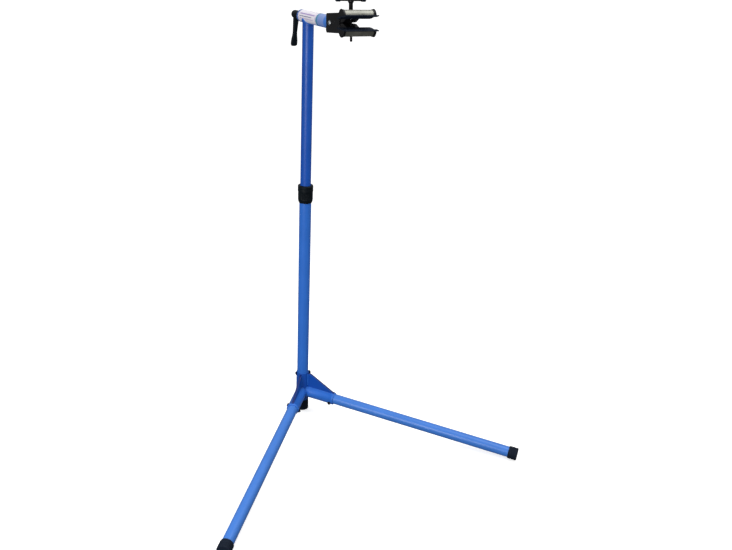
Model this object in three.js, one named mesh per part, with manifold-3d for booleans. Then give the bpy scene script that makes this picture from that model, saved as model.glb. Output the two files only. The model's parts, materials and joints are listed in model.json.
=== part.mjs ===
// Bike repair stand: two splayed legs and a small rear foot carry a telescopic mast, and a cross
// arm on top of the mast holds a turning clamp head with two jaws drawn together by a T-screw.
// Millimetres, +Z up, +X along the arm (halfway between the legs), origin under the mast on the floor.
import * as THREE from "three";
import { mergeVertices } from "three/addons/utils/BufferGeometryUtils.js";
import Module from "manifold-3d";

const wasm = await Module();
wasm.setup();

// ---------------------------------------------------------------- driving dimensions
const GAP = 0.3; // space left between pieces that touch
const ROUND = 24; // facets on a large tube
const FINE = 14; // facets on a small round piece

const upperMast = { radius: 18.5, wall: 1.6, bottom: 700 };
const lowerMast = { radius: 21, wall: 1.5, bottom: 6.3, top: 872 };
const sleeve = { radius: 23.7, bore: 21.3, bottom: 48, top: 160 };
const sleeveBolt = { height: 153, azimuth: -14, headRadius: 6.5, head: 4, nutRadius: 8, nut: 6 };
const rearFoot = { radius: 23.8, topRadius: 23, height: 42, sole: 6 };

const leg = {
  radius: 19,
  wall: 1.5,
  azimuth: 40.7, // degrees each side of the arm
  axisHeight: 79.5, // where the leg's centre line meets the mast's
  start: 46,
  end: 838,
  tipHeight: 21.8, // centre line above the floor at the tip
};
const socket = { radius: 21.8, bore: 19.3, start: 5, end: 134 };
const legBolt = { at: 122, tilt: 25, headRadius: 6.5, head: 4.5, nutRadius: 6.8, nut: 5.5, end: 30 };
const crossBolt = { radius: 3, hole: 3.3 }; // the leg bolts' shank
const mastBolt = { radius: 4, hole: 4.3 }; // the sleeve's and the yoke's
const footCap = { radius: 22.3, start: 810, end: 842, floor: 3.5 };
const gusset = { thickness: 8, top: 156, nose: 131, noseHeight: 3, cornerRadius: 8 };

const collar = { bottom: 839, top: 897, radius: 26.8, threadRadius: 23 };
const arm = { height: 1450, radius: 19.5, wall: 2.5, rear: -46, front: 166.5 };
const shaft = { radius: 8, threadRadius: 5, shoulder: -46, rear: -92, front: 203 };
const bush = { flange: 2.7, spigot: 24, bore: 8.3 };
const washer = { radius: 12.5, thickness: 2 };

const handle = {
  hubFront: -52,
  hubRear: -108,
  hubRadius: 13,
  neckRadius: 10,
  insertRadius: 8,
  insertRear: -95,
  leverAt: -91,
  leverLength: 103,
  leverLean: 10, // degrees, away from the mast
  leverHalf: 3, // half the flat part of its thickness
  bevel: 3,
};

// The clamp head is set nose-up on its shaft, bent from the arm's front end.
const head = { x: 220, pitch: 5.3, bendX: 175 };
const yoke = { halfWidth: 22, halfHeight: 28, frontHalfHeight: 29, corner: 8, slot: 14.8, boltX: -23 };
const pivot = { x: 38, z: 16.5, pinRadius: 5, knuckle: 12.5 };
const jaw = { halfLength: 53, padX: 82, padZ: 13.7, openAngle: 7, padDepth: 57, noseX: 62 };
const cover = { halfLength: 49.7, middle: 27, halfWidth: 14.5, base: 2, height: 19.5, wall: 2 };
const screw = {
  x: 68,
  shankRadius: 6,
  stepRadius: 5,
  threadRadius: 4,
  trunnionZ: 21,
  trunnionRadius: 8,
  trunnionHalf: 20,
  barZ: 65,
  bossRadius: 8.5,
  bossHalf: 9,
  tip: -51.5,
};
const tBar = { radius: 5.3, halfLength: 47, capRadius: 7, capLength: 12 };
const REACH = 60; // half length of a cutting bar that goes right through

const rad = THREE.MathUtils.degToRad;
const legSlope = Math.atan((leg.axisHeight - leg.tipHeight) / leg.end);

// Height of the clamp head's centre line at a station along the arm.
function headLine(x) {
  return arm.height + (x - head.bendX) * Math.tan(rad(head.pitch));
}

// ---------------------------------------------------------------- materials
function finish(color, roughness, metalness = 0) {
  return new THREE.MeshStandardMaterial({ color, roughness, metalness });
}
const bluePaint = finish(0x2a62c4, 0.35);
const blackPlastic = finish(0x15161a, 0.5);
const blackRubber = finish(0x101114, 0.85);
const blackSteel = finish(0x1b1c20, 0.4, 0.4);
const zincSteel = finish(0xb9bab4, 0.35, 0.9);
const palePlate = finish(0xc6c8ba, 0.4, 0.5);
const brass = finish(0xb5984e, 0.4, 0.9);
const nylon = finish(0x2a2c30, 0.6);

// ---------------------------------------------------------------- solids
// A closed three.js geometry as a solid that can be joined and cut.
function solid(geometry) {
  const bare = geometry.clone();
  for (const name of Object.keys(bare.attributes)) {
    if (name !== "position") bare.deleteAttribute(name);
  }
  const merged = mergeVertices(bare, 1e-4);
  return new wasm.Manifold(
    new wasm.Mesh({
      numProp: 3,
      vertProperties: new Float32Array(merged.attributes.position.array),
      triVerts: new Uint32Array(merged.index.array),
    }),
  );
}

function geometryOf(body) {
  const mesh = body.getMesh();
  const geometry = new THREE.BufferGeometry();
  geometry.setAttribute("position", new THREE.BufferAttribute(mesh.vertProperties, 3));
  geometry.setIndex(new THREE.BufferAttribute(mesh.triVerts, 1));
  geometry.computeVertexNormals();
  return geometry;
}

function join(...bodies) {
  return bodies.reduce((sum, body) => sum.add(body));
}

function cut(body, ...tools) {
  return tools.reduce((rest, tool) => rest.subtract(tool), body);
}

// Turns geometry built along +Y so that it runs along the named axis.
function along(geometry, axis) {
  if (axis === "x") geometry.rotateZ(-Math.PI / 2);
  if (axis === "z") geometry.rotateX(Math.PI / 2);
  return geometry;
}

// A round bar from one station to another along an axis through the given centre.
function bar(axis, radius, from, to, centre = [0, 0, 0], facets = FINE) {
  const geometry = along(new THREE.CylinderGeometry(radius, radius, to - from, facets), axis);
  const middle = new THREE.Vector3(...centre);
  middle[axis] += (from + to) / 2;
  return solid(geometry.translate(middle.x, middle.y, middle.z));
}

// A turned piece: profile points are [radius, station], listed with the outside running upwards.
function turned(axis, profile, centre = [0, 0, 0], facets = FINE) {
  const points = profile.map(([radius, station]) => new THREE.Vector2(radius, station));
  const closed = points[0].x > 0 ? [...points, points[0].clone()] : points;
  const geometry = along(new THREE.LatheGeometry(closed, facets), axis);
  return solid(geometry.translate(...centre));
}

function tube(axis, radius, bore, from, to, centre, facets = ROUND) {
  return turned(axis, [[bore, from], [radius, from], [radius, to], [bore, to]], centre, facets);
}

function box(low, high) {
  const size = high.map((value, i) => value - low[i]);
  const middle = high.map((value, i) => (value + low[i]) / 2);
  return solid(new THREE.BoxGeometry(...size).translate(...middle));
}

// A flat outline in the XZ plane, extruded along Y from -half to +half.
function plate(shape, half, facets = 6) {
  const geometry = new THREE.ExtrudeGeometry(shape, {
    depth: 2 * half,
    bevelEnabled: false,
    curveSegments: facets,
  });
  return solid(geometry.rotateX(Math.PI / 2).translate(0, half, 0));
}

function outline(points) {
  return new THREE.Shape(points.map(([x, z]) => new THREE.Vector2(x, z)));
}

// ---------------------------------------------------------------- assembly
const stand = new THREE.Group();

function add(name, body, material, parent = stand) {
  const mesh = new THREE.Mesh(geometryOf(body), material);
  mesh.name = name;
  parent.add(mesh);
}

// ---------------------------------------------------------------- base
// A leg's own frame: x runs outwards along the leg, y across it and z up from its centre line.
function legFrame(side) {
  const frame = new THREE.Group();
  frame.position.set(0, 0, leg.axisHeight);
  frame.rotation.order = "ZYX";
  frame.rotation.set(0, legSlope, side * rad(leg.azimuth));
  stand.add(frame);
  frame.updateWorldMatrix(true, false);
  return frame;
}

// Takes a solid from the stand's frame into a group's own frame.
function into(frame, body) {
  frame.updateWorldMatrix(true, false);
  return body.transform(frame.matrixWorld.clone().invert().toArray());
}

// The socket's cross bolt is tipped so that its inner end, between the legs, sits lower.
function tipped(body, side) {
  return body.rotate([side * legBolt.tilt, 0, 0]).translate([legBolt.at, 0, 0]);
}

// A bar, or a hexagon with six facets, that spans two stations of y given in either order.
function crossBar(radius, from, to, facets = FINE) {
  return bar("y", radius, Math.min(from, to), Math.max(from, to), [0, 0, 0], facets);
}

// The half of space on the far side of the plane halfway between the legs.
function otherHalf(side) {
  const size = 400;
  return box([-size, side > 0 ? -size : -GAP / 2, -size], [size, side > 0 ? GAP / 2 : size, size]);
}

function buildLeg(side) {
  const prefix = side > 0 ? "left" : "right";
  const frame = legFrame(side);
  const mastClear = into(frame, bar("z", sleeve.radius + GAP, 0, 400, [0, 0, 0], ROUND));
  const hole = tipped(crossBar(crossBolt.hole, -REACH, REACH), side);

  const sleeveTube = tube("x", socket.radius, socket.bore, socket.start, socket.end, [0, 0, 0]);
  const halfClear = into(frame, otherHalf(side));
  add(`${prefix}_leg_socket`, cut(sleeveTube, mastClear, halfClear, hole), bluePaint, frame);

  const tubeEnd = leg.end - footCap.floor;
  const legTube = tube("x", leg.radius, leg.radius - leg.wall, leg.start, tubeEnd, [0, 0, 0]);
  add(`${prefix}_leg_tube`, cut(legTube, hole), bluePaint, frame);

  // the head is on the outer side of each leg, the nut between the legs
  const seat = socket.radius + GAP;
  const bolt = join(
    crossBar(crossBolt.radius, -side * legBolt.end, side * (seat + 1)),
    crossBar(legBolt.headRadius, side * seat, side * (seat + legBolt.head)),
  );
  add(`${prefix}_leg_bolt`, tipped(bolt, side), blackSteel, frame);
  const nut = cut(
    crossBar(legBolt.nutRadius, -side * seat, -side * (seat + legBolt.nut), 6),
    crossBar(crossBolt.hole, -REACH, REACH),
  );
  add(`${prefix}_leg_nut`, tipped(nut, side), blackSteel, frame);

  const innerFloor = footCap.end - footCap.floor - GAP;
  const cap = turned("x", [
    [0, innerFloor],
    [leg.radius + GAP, innerFloor],
    [leg.radius + GAP, footCap.start],
    [footCap.radius - 1, footCap.start],
    [footCap.radius, footCap.start + 1],
    [footCap.radius, footCap.end - 1.5],
    [footCap.radius - 1.5, footCap.end],
    [0, footCap.end],
  ], [0, 0, 0], ROUND);
  const underFloor = into(frame, box([-2000, -2000, -100], [2000, 2000, 0]));
  add(`${prefix}_leg_foot`, cut(cap, underFloor), blackRubber, frame);
}

function buildGusset(side) {
  const prefix = side > 0 ? "left" : "right";
  const frame = new THREE.Group();
  frame.rotation.z = side * rad(leg.azimuth);
  stand.add(frame);
  const inner = sleeve.radius + 0.5;
  const crest = leg.axisHeight + socket.radius / Math.cos(legSlope) + GAP;
  const seatAt = (r) => crest - r * Math.tan(legSlope);
  const shape = new THREE.Shape();
  shape.moveTo(inner, seatAt(inner));
  shape.lineTo(gusset.nose, seatAt(gusset.nose));
  shape.lineTo(gusset.nose, seatAt(gusset.nose) + gusset.noseHeight);
  shape.lineTo(inner + gusset.cornerRadius * 2, gusset.top - gusset.cornerRadius / 2);
  shape.quadraticCurveTo(inner + gusset.cornerRadius * 1.2, gusset.top, inner + 3, gusset.top);
  shape.lineTo(inner, gusset.top);
  const mastClear = bar("z", sleeve.radius + GAP, 0, 400, [0, 0, 0], ROUND);
  add(`${prefix}_gusset`, cut(plate(shape, gusset.thickness / 2), mastClear), bluePaint, frame);
}

function buildBase() {
  const turn = (body) => body.rotate([0, 0, sleeveBolt.azimuth]).translate([0, 0, sleeveBolt.height]);
  const hole = turn(crossBar(mastBolt.hole, -REACH, REACH));
  const body = tube("z", sleeve.radius, sleeve.bore, sleeve.bottom, sleeve.top, [0, 0, 0]);
  add("base_sleeve", cut(body, hole), bluePaint);

  const lowerBore = lowerMast.radius - lowerMast.wall;
  const lower = tube("z", lowerMast.radius, lowerBore, lowerMast.bottom, lowerMast.top, [0, 0, 0]);
  add("lower_mast_tube", cut(lower, hole), bluePaint);

  const seat = sleeve.radius + GAP;
  const bolt = join(
    crossBar(mastBolt.radius, -seat - 1, seat + sleeveBolt.nut + 1),
    crossBar(sleeveBolt.headRadius, -seat - sleeveBolt.head, -seat),
  );
  add("sleeve_bolt", turn(bolt), blackSteel);
  const nut = crossBar(sleeveBolt.nutRadius, seat, seat + sleeveBolt.nut, 6);
  add("sleeve_nut", cut(turn(nut), hole), blackSteel);

  const cap = turned("z", [
    [0, 0],
    [rearFoot.radius - 2, 0],
    [rearFoot.radius, 2],
    [rearFoot.topRadius, rearFoot.height],
    [lowerMast.radius + GAP, rearFoot.height],
    [lowerMast.radius + GAP, rearFoot.sole],
    [0, rearFoot.sole],
  ], [0, 0, 0], ROUND);
  add("rear_foot_cap", cap, blackRubber);
}

// ---------------------------------------------------------------- mast lock and upper mast
function buildMast() {
  const bore = lowerMast.radius + GAP;
  const threaded = tube("z", collar.threadRadius, bore, collar.bottom - 4, lowerMast.top - 2, [0, 0, 0]);
  add("collar_base", threaded, blackPlastic);

  const bodyTop = lowerMast.top + 4;
  const body = turned("z", [
    [collar.threadRadius + GAP, collar.bottom],
    [collar.radius - 1.6, collar.bottom],
    [collar.radius - 0.8, collar.bottom + 14],
    [collar.radius - 0.8, collar.top - 24],
    [collar.radius, collar.top - 22],
    [collar.radius, collar.top - 1.5],
    [collar.radius - 1.5, collar.top],
    [upperMast.radius + 0.5, collar.top],
    [upperMast.radius + 0.5, collar.top - 5],
    [collar.threadRadius + GAP, bodyTop],
  ], [0, 0, 0], ROUND);
  add("height_collar", body, blackPlastic);

  const colletBody = turned("z", [
    [upperMast.radius + GAP, lowerMast.top + 0.5],
    [collar.threadRadius - 0.4, lowerMast.top + 0.5],
    [collar.threadRadius - 0.4, lowerMast.top + 3],
    [upperMast.radius + 1.2, collar.top - 11],
    [upperMast.radius + GAP, collar.top - 11],
  ], [0, 0, 0], ROUND);
  const slit = box([0, -1.5, lowerMast.top - 10], [40, 1.5, collar.top]);
  add("collet_bushing", cut(colletBody, slit), nylon);

  const armClear = bar("x", arm.radius + GAP, -80, 80, [0, 0, arm.height], ROUND);
  const upperBore = upperMast.radius - upperMast.wall;
  const tubeBody = tube("z", upperMast.radius, upperBore, upperMast.bottom, arm.height, [0, 0, 0]);
  add("upper_mast_tube", cut(tubeBody, armClear), bluePaint);

  const bushRadius = lowerMast.radius - lowerMast.wall - GAP;
  const bushBore = 8;
  const plug = turned("z", [
    [bushBore, upperMast.bottom - 8],
    [bushRadius, upperMast.bottom - 8],
    [bushRadius, upperMast.bottom - GAP],
    [upperBore - GAP, upperMast.bottom - GAP],
    [upperBore - GAP, upperMast.bottom + 22],
    [bushBore, upperMast.bottom + 22],
  ], [0, 0, 0], ROUND);
  add("mast_guide_bush", plug, nylon);
}

// ---------------------------------------------------------------- arm and lock handle
function yokeBoltAt() {
  const x = head.x + yoke.boltX;
  return [x, 0, headLine(x)];
}

function buildArm() {
  const centre = [0, 0, arm.height];
  const armTube = tube("x", arm.radius, arm.radius - arm.wall, arm.rear, arm.front, centre);
  add("arm_tube", armTube, bluePaint);

  const spigot = arm.radius - arm.wall - GAP;
  const rearFace = arm.rear - GAP;
  const rearBush = turned("x", [
    [bush.bore, rearFace - bush.flange],
    [arm.radius, rearFace - bush.flange],
    [arm.radius, rearFace],
    [spigot, rearFace],
    [spigot, rearFace + bush.spigot],
    [bush.bore, rearFace + bush.spigot],
  ], centre, ROUND);
  add("arm_rear_bush", rearBush, nylon);

  const frontFace = arm.front + GAP;
  const frontBush = turned("x", [
    [bush.bore, frontFace - bush.spigot],
    [spigot, frontFace - bush.spigot],
    [spigot, frontFace],
    [arm.radius, frontFace],
    [arm.radius, frontFace + bush.flange],
    [bush.bore, frontFace + bush.flange],
  ], centre, ROUND);
  add("arm_front_bush", frontBush, nylon);

  const rod = join(
    bar("x", shaft.radius, shaft.shoulder, shaft.front, centre, ROUND),
    bar("x", shaft.threadRadius, shaft.rear, shaft.shoulder + 1, centre),
  );
  const boltHole = bar("y", mastBolt.hole, -REACH, REACH, yokeBoltAt());
  add("clamp_shaft", cut(rod, boltHole), zincSteel);

  const washerFace = arm.rear - GAP - bush.flange - GAP;
  const washerRear = washerFace - washer.thickness;
  const ring = tube("x", washer.radius, shaft.threadRadius + GAP, washerRear, washerFace, centre);
  add("thrust_washer", ring, zincSteel);
}

// The lever is a flat paddle: waisted halfway down and widest near its rounded end.
function leverShape() {
  const root = 10;
  const waist = 7.3;
  const palm = 11.2;
  const waistZ = -52;
  const palmZ = -88;
  const end = -handle.leverLength;
  const shape = new THREE.Shape();
  shape.moveTo(-root, 0);
  shape.quadraticCurveTo(-waist - 0.6, waistZ / 2, -waist, waistZ);
  shape.quadraticCurveTo(-waist, waistZ - 14, -palm, palmZ);
  shape.quadraticCurveTo(-palm - 0.5, end, -palm / 2, end);
  shape.lineTo(palm / 2, end);
  shape.quadraticCurveTo(palm + 0.5, end, palm, palmZ);
  shape.quadraticCurveTo(waist, waistZ - 14, waist, waistZ);
  shape.quadraticCurveTo(waist + 0.6, waistZ / 2, root, 0);
  return shape;
}

function buildHandle() {
  const frame = new THREE.Group();
  frame.position.set(0, 0, arm.height);
  stand.add(frame);
  const { insertRadius, insertRear } = handle;

  const hub = turned("x", [
    [0, handle.hubRear],
    [handle.hubRadius - 3, handle.hubRear],
    [handle.hubRadius, handle.hubRear + 4],
    [handle.hubRadius, handle.hubRear + 26],
    [handle.neckRadius, handle.hubFront - 12],
    [handle.neckRadius, handle.hubFront],
    [0, handle.hubFront],
  ], [0, 0, 0], ROUND);

  const lever = new THREE.ExtrudeGeometry(leverShape(), {
    depth: 2 * handle.leverHalf,
    bevelEnabled: true,
    bevelThickness: handle.bevel,
    bevelSize: handle.bevel - 0.5,
    bevelOffset: 0.5 - handle.bevel,
    bevelSegments: 2,
    curveSegments: 5,
  });
  lever.translate(0, 0, -handle.leverHalf).rotateX(Math.PI / 2).rotateZ(Math.PI / 2);
  lever.rotateY(rad(handle.leverLean)).translate(handle.leverAt, 0, 0);
  const bore = bar("x", insertRadius + GAP, insertRear - GAP, 0, [0, 0, 0]);
  const screwHole = bar("x", 3.3, handle.hubRear - 5, insertRear + 1, [0, 0, 0]);
  const recess = bar("x", 6, handle.hubRear - 5, handle.hubRear + 3, [0, 0, 0]);
  add("lock_handle", cut(join(hub, solid(lever)), bore, screwHole, recess), blackPlastic, frame);

  const insert = tube("x", insertRadius, shaft.threadRadius + GAP, insertRear, handle.hubFront, [0, 0, 0]);
  add("handle_insert", insert, brass, frame);

  const capScrew = join(
    bar("x", 3, handle.hubRear + 3, insertRear - GAP, [0, 0, 0]),
    bar("x", 5.4, handle.hubRear - 0.5, handle.hubRear + 3 - GAP, [0, 0, 0]),
    bar("x", 3, handle.hubRear + 1, handle.hubRear + 4, [0, 0, 0]),
  );
  add("handle_screw", cut(capScrew, box([-200, -0.7, -8], [handle.hubRear + 0.9, 0.7, 8])), zincSteel, frame);
}

// ---------------------------------------------------------------- clamp head
const headFrame = new THREE.Group();
headFrame.position.set(head.x, 0, headLine(head.x));
headFrame.rotation.y = -rad(head.pitch);
stand.add(headFrame);

function buildYoke() {
  const rearFace = arm.front + GAP + bush.flange + GAP - head.x;
  const lean = Math.tan(rad(head.pitch)); // keeps the rear face square to the shaft
  const shape = new THREE.Shape();
  const { halfHeight, frontHalfHeight, corner } = yoke;
  shape.moveTo(rearFace - halfHeight * lean + corner * 0.6, -halfHeight);
  shape.lineTo(pivot.x, -frontHalfHeight);
  shape.absarc(pivot.x, -pivot.z, pivot.knuckle, -Math.PI / 2, Math.PI / 6, false);
  shape.lineTo(pivot.x - 3, -3);
  shape.lineTo(pivot.x - 3, 3);
  shape.absarc(pivot.x, pivot.z, pivot.knuckle, -Math.PI / 6, Math.PI / 2, false);
  shape.lineTo(rearFace + halfHeight * lean + 3, halfHeight);
  shape.lineTo(rearFace + (halfHeight - 3) * lean, halfHeight - 3);
  shape.lineTo(rearFace - (halfHeight - corner) * lean, -halfHeight + corner);
  const block = plate(shape, yoke.halfWidth, 6);
  const slot = box([-10, -yoke.slot, -REACH], [80, yoke.slot, REACH]);
  const bore = bar("x", shaft.radius + GAP, 100, shaft.front + 2, [0, 0, arm.height], ROUND);
  const shaftBore = into(headFrame, bore);
  const boltHole = into(headFrame, bar("y", mastBolt.hole, -REACH, REACH, yokeBoltAt()));
  const pinHoles = [1, -1].map((side) => {
    return bar("y", pivot.pinRadius + GAP, -REACH, REACH, [pivot.x, 0, side * pivot.z]);
  });
  add("clamp_body", cut(block, slot, shaftBore, boltHole, ...pinHoles), blackSteel, headFrame);

  const seat = yoke.halfWidth + GAP;
  const boltAt = yokeBoltAt();
  const bolt = join(
    bar("y", mastBolt.radius, -seat - 1, seat + 8, boltAt),
    turned("y", [[0, -seat - 5], [4, -seat - 4.6], [7, -seat - 2.5], [7, -seat], [0, -seat]], boltAt, FINE),
  );
  add("yoke_bolt", into(headFrame, bolt), zincSteel, headFrame);
  const nut = cut(
    bar("y", 7.5, seat, seat + 6, boltAt, 6),
    bar("y", mastBolt.hole, -REACH, REACH, boltAt),
  );
  add("yoke_nut", into(headFrame, nut), zincSteel, headFrame);

  for (const [name, side] of [["upper", 1], ["lower", -1]]) {
    const centre = [pivot.x, 0, side * pivot.z];
    const pin = join(
      bar("y", pivot.pinRadius, -seat - 1, seat + 1, centre),
      bar("y", 7.5, -seat - 2.2, -seat, centre),
      bar("y", 7.5, seat, seat + 2.2, centre),
    );
    add(`${name}_jaw_pin`, pin, blackSteel, headFrame);
  }
}

// The jaw pieces are drawn for the upper jaw and mirrored for the lower one.
function mirrored(body, side) {
  return side > 0 ? body : body.mirror([0, 0, 1]);
}

// Takes a jaw's section, drawn with u from rear to front and v outwards, to its open angle.
function onPad(body) {
  return body.rotate([0, -jaw.openAngle, 0]).translate([jaw.padX, 0, jaw.padZ]);
}

// The half-round outer profile of a jaw's cover, grown by a margin, from its base outwards.
function coverShape(margin, base) {
  const shape = new THREE.Shape();
  const across = cover.halfWidth + margin;
  shape.moveTo(cover.middle + across, base);
  shape.absellipse(cover.middle, cover.base, across, cover.height - cover.base + margin, 0, Math.PI);
  shape.lineTo(cover.middle - across, base);
  return shape;
}

function buildJaw(name, side) {
  const width = yoke.halfWidth;
  const padTop = 1.5; // thickness of the pad behind its back edge line
  const castingTop = 30.5;
  const wideShape = outline([
    [44, 1.3],
    [50, 1.3],
    [jaw.noseX, 2.5],
    [jaw.padX - 2, jaw.padZ - 1.5],
    [jaw.padX - 0.6, jaw.padZ + 2.1],
    [103, jaw.padZ + 4.9],
    [102, castingTop],
    [86, castingTop],
    [60, castingTop + 2.5],
    [pivot.x, castingTop + 2],
    [pivot.x, 20],
    [44, 20],
  ]);
  const knuckleClear = bar("y", pivot.knuckle + 1, -REACH, REACH, [pivot.x, 0, pivot.z], ROUND);
  const wide = cut(plate(wideShape, width), knuckleClear);
  const narrowHalf = yoke.slot - 0.6;
  const web = outline([[pivot.x, 5], [46, 4.8], [60, 8], [60, 29], [pivot.x, 28]]);
  const knuckle = bar("y", pivot.knuckle - 0.5, -narrowHalf, narrowHalf, [pivot.x, 0, pivot.z], ROUND);
  const arms = join(wide, plate(web, narrowHalf), knuckle);

  const pinHole = bar("y", pivot.pinRadius + GAP, -REACH, REACH, [pivot.x, 0, pivot.z]);
  const trunnionAt = [screw.x, 0, screw.trunnionZ];
  const trunnionBore = bar("y", screw.trunnionRadius + GAP, -REACH, REACH, trunnionAt);
  const screwSlot = box([screw.x - 9.8, -7.4, -5], [screw.x + 9.8, 7.4, REACH]);
  const casting = cut(arms, pinHole, trunnionBore, screwSlot);
  add(`${name}_jaw`, mirrored(casting, side), blackSteel, headFrame);

  const shell = cut(
    onPad(plate(coverShape(0, padTop + GAP), cover.halfLength)),
    onPad(plate(coverShape(-cover.wall, 0), cover.halfLength + 5)),
    box([60, -width - 0.4, 0], [104, width + 0.4, castingTop + 1.2]),
  );
  add(`${name}_jaw_cover`, mirrored(shell, side), palePlate, headFrame);

  const padShape = outline([
    [0, -2.5],
    [16, -2.5],
    [30, -0.2],
    [44, -2.5],
    [jaw.padDepth, -1.2],
    [jaw.padDepth, padTop],
    [0, padTop],
  ]);
  add(`${name}_jaw_pad`, mirrored(onPad(plate(padShape, jaw.halfLength)), side), blackRubber, headFrame);

  const thickness = jaw.halfLength - cover.halfLength - GAP;
  const endShape = coverShape(2.5, padTop + GAP);
  for (const [end, direction] of [["right", -1], ["left", 1]]) {
    const offset = direction * (jaw.halfLength - thickness / 2);
    const body = onPad(plate(endShape, thickness / 2).translate([0, offset, 0]));
    add(`${name}_jaw_${end}_plate`, mirrored(body, side), blackSteel, headFrame);
  }
}

function buildScrew() {
  const step = screw.trunnionZ; // the screw's shoulder sits halfway through the upper trunnion
  const { trunnionRadius, trunnionHalf, bossRadius, bossHalf } = screw;
  const threadHole = bar("z", screw.threadRadius + GAP, -REACH, REACH, [screw.x, 0, 0]);
  const upper = cut(
    bar("y", trunnionRadius, -trunnionHalf, trunnionHalf, [screw.x, 0, screw.trunnionZ]),
    bar("z", screw.stepRadius + GAP, step - GAP, REACH, [screw.x, 0, 0]),
    threadHole,
  );
  add("upper_trunnion", upper, zincSteel, headFrame);
  const lower = bar("y", trunnionRadius, -trunnionHalf, trunnionHalf, [screw.x, 0, -screw.trunnionZ]);
  add("lower_trunnion_nut", cut(lower, threadHole), zincSteel, headFrame);

  const shankBottom = screw.trunnionZ + trunnionRadius + 1;
  const rod = turned("z", [
    [0, screw.tip],
    [screw.threadRadius - 1, screw.tip],
    [screw.threadRadius, screw.tip + 1.5],
    [screw.threadRadius, step],
    [screw.stepRadius, step],
    [screw.stepRadius, shankBottom],
    [screw.shankRadius, shankBottom],
    [screw.shankRadius, screw.barZ - bossHalf - 2],
    [bossRadius, screw.barZ - bossHalf],
    [bossRadius, screw.barZ + bossHalf - 1.5],
    [bossRadius - 1.5, screw.barZ + bossHalf],
    [0, screw.barZ + bossHalf],
  ], [screw.x, 0, 0]);
  const barHole = bar("y", tBar.radius + GAP, -REACH, REACH, [screw.x, 0, screw.barZ]);
  add("clamp_screw", cut(rod, barHole), blackSteel, headFrame);

  const ringTop = screw.trunnionZ - screw.trunnionRadius - GAP;
  const ring = tube("z", 6.5, screw.threadRadius + GAP, ringTop - 2, ringTop, [screw.x, 0, 0], FINE);
  add("screw_retaining_ring", ring, zincSteel, headFrame);

  const barCentre = [screw.x, 0, screw.barZ];
  const inner = tBar.halfLength - 2;
  add("t_bar", bar("y", tBar.radius, -inner, inner, barCentre), blackSteel, headFrame);
  for (const [name, side] of [["left", 1], ["right", -1]]) {
    const cap = turned("y", [
      [0, tBar.halfLength + 2],
      [tBar.capRadius - 2.5, tBar.halfLength + 2],
      [tBar.capRadius, tBar.halfLength - 0.5],
      [tBar.capRadius, tBar.halfLength - tBar.capLength],
      [tBar.radius + GAP, tBar.halfLength - tBar.capLength],
      [tBar.radius + GAP, inner + GAP],
      [0, inner + GAP],
    ].reverse());
    const placed = (side > 0 ? cap : cap.mirror([0, 1, 0])).translate(barCentre);
    add(`t_bar_${name}_cap`, placed, blackRubber, headFrame);
  }
}

buildBase();
for (const side of [1, -1]) {
  buildLeg(side);
  buildGusset(side);
}
buildMast();
buildArm();
buildHandle();
buildYoke();
buildJaw("upper", 1);
buildJaw("lower", -1);
buildScrew();

export default stand;
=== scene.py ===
"""Looks for the bike repair stand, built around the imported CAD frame. Shapes are written in
millimetres and placed in metres, in the same frame as the CAD."""
import json
import math

import bmesh
import bpy
from mathutils import Matrix, Vector


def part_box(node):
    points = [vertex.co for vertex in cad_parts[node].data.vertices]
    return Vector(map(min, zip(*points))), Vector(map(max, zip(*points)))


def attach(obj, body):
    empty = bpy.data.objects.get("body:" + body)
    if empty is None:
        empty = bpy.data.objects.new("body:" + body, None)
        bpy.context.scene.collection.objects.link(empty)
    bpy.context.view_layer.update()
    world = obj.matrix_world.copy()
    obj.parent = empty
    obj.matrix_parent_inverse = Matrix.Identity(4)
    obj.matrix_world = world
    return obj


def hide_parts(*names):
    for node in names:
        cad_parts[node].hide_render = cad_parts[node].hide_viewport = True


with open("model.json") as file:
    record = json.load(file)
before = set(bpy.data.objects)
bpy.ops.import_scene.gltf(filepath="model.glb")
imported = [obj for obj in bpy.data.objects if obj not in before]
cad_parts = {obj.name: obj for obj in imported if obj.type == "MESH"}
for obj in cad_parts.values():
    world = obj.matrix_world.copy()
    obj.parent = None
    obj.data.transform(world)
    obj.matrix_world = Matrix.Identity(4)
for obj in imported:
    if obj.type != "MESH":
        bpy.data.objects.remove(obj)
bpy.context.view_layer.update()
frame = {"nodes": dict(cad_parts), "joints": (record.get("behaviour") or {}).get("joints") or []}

MM = 0.001
NODES = frame["nodes"]
JOINTS = {joint["name"]: joint for joint in frame["joints"]}

# ---------------------------------------------------------------- sizes, in millimetres
UPPER_MAST, LOWER_MAST = 18.5, 21.0
UPPER_WALL, LOWER_WALL, ARM_WALL, LEG_WALL = 1.6, 1.5, 2.5, 1.5
UPPER_MAST_FOOT, LEG_HEEL = 700, 46  # where the upper mast and the leg tubes start
SLEEVE, SLEEVE_BORE = 23.7, 21.3
SLEEVE_LOW, SLEEVE_HIGH = 48.0, 160.0
SLEEVE_BOLT_HEIGHT, SLEEVE_BOLT_AZIMUTH = 153.0, -14.0
MAST_FOOT, MAST_LOCK = 6.3, 872.0  # ends of the lower mast tube
COLLAR_RADIUS, COLLAR_THREAD, COLLAR_THREAD_FOOT, COLLAR_RIBS = 26.8, 23.0, 835, 30
ARM_RADIUS = 19.5
ARM_REAR, ARM_FRONT = -46.0, 166.5
WRAP_REAR, WRAP_FRONT, WRAP_REACH = -42.0, 146.0, 143  # the label, and its reach in degrees from upright
LEG_RADIUS, SOCKET_RADIUS, SOCKET_BORE, SOCKET_END = 19.0, 21.8, 19.3, 134.0
LEG_AZIMUTH = 40.7  # degrees each side of the arm
LEG_TOP, LEG_TIP, LEG_LENGTH = 79.5, 21.8, 838.0
LEG_BOLT_AT, LEG_BOLT_TILT = 122.0, 25.0
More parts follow.
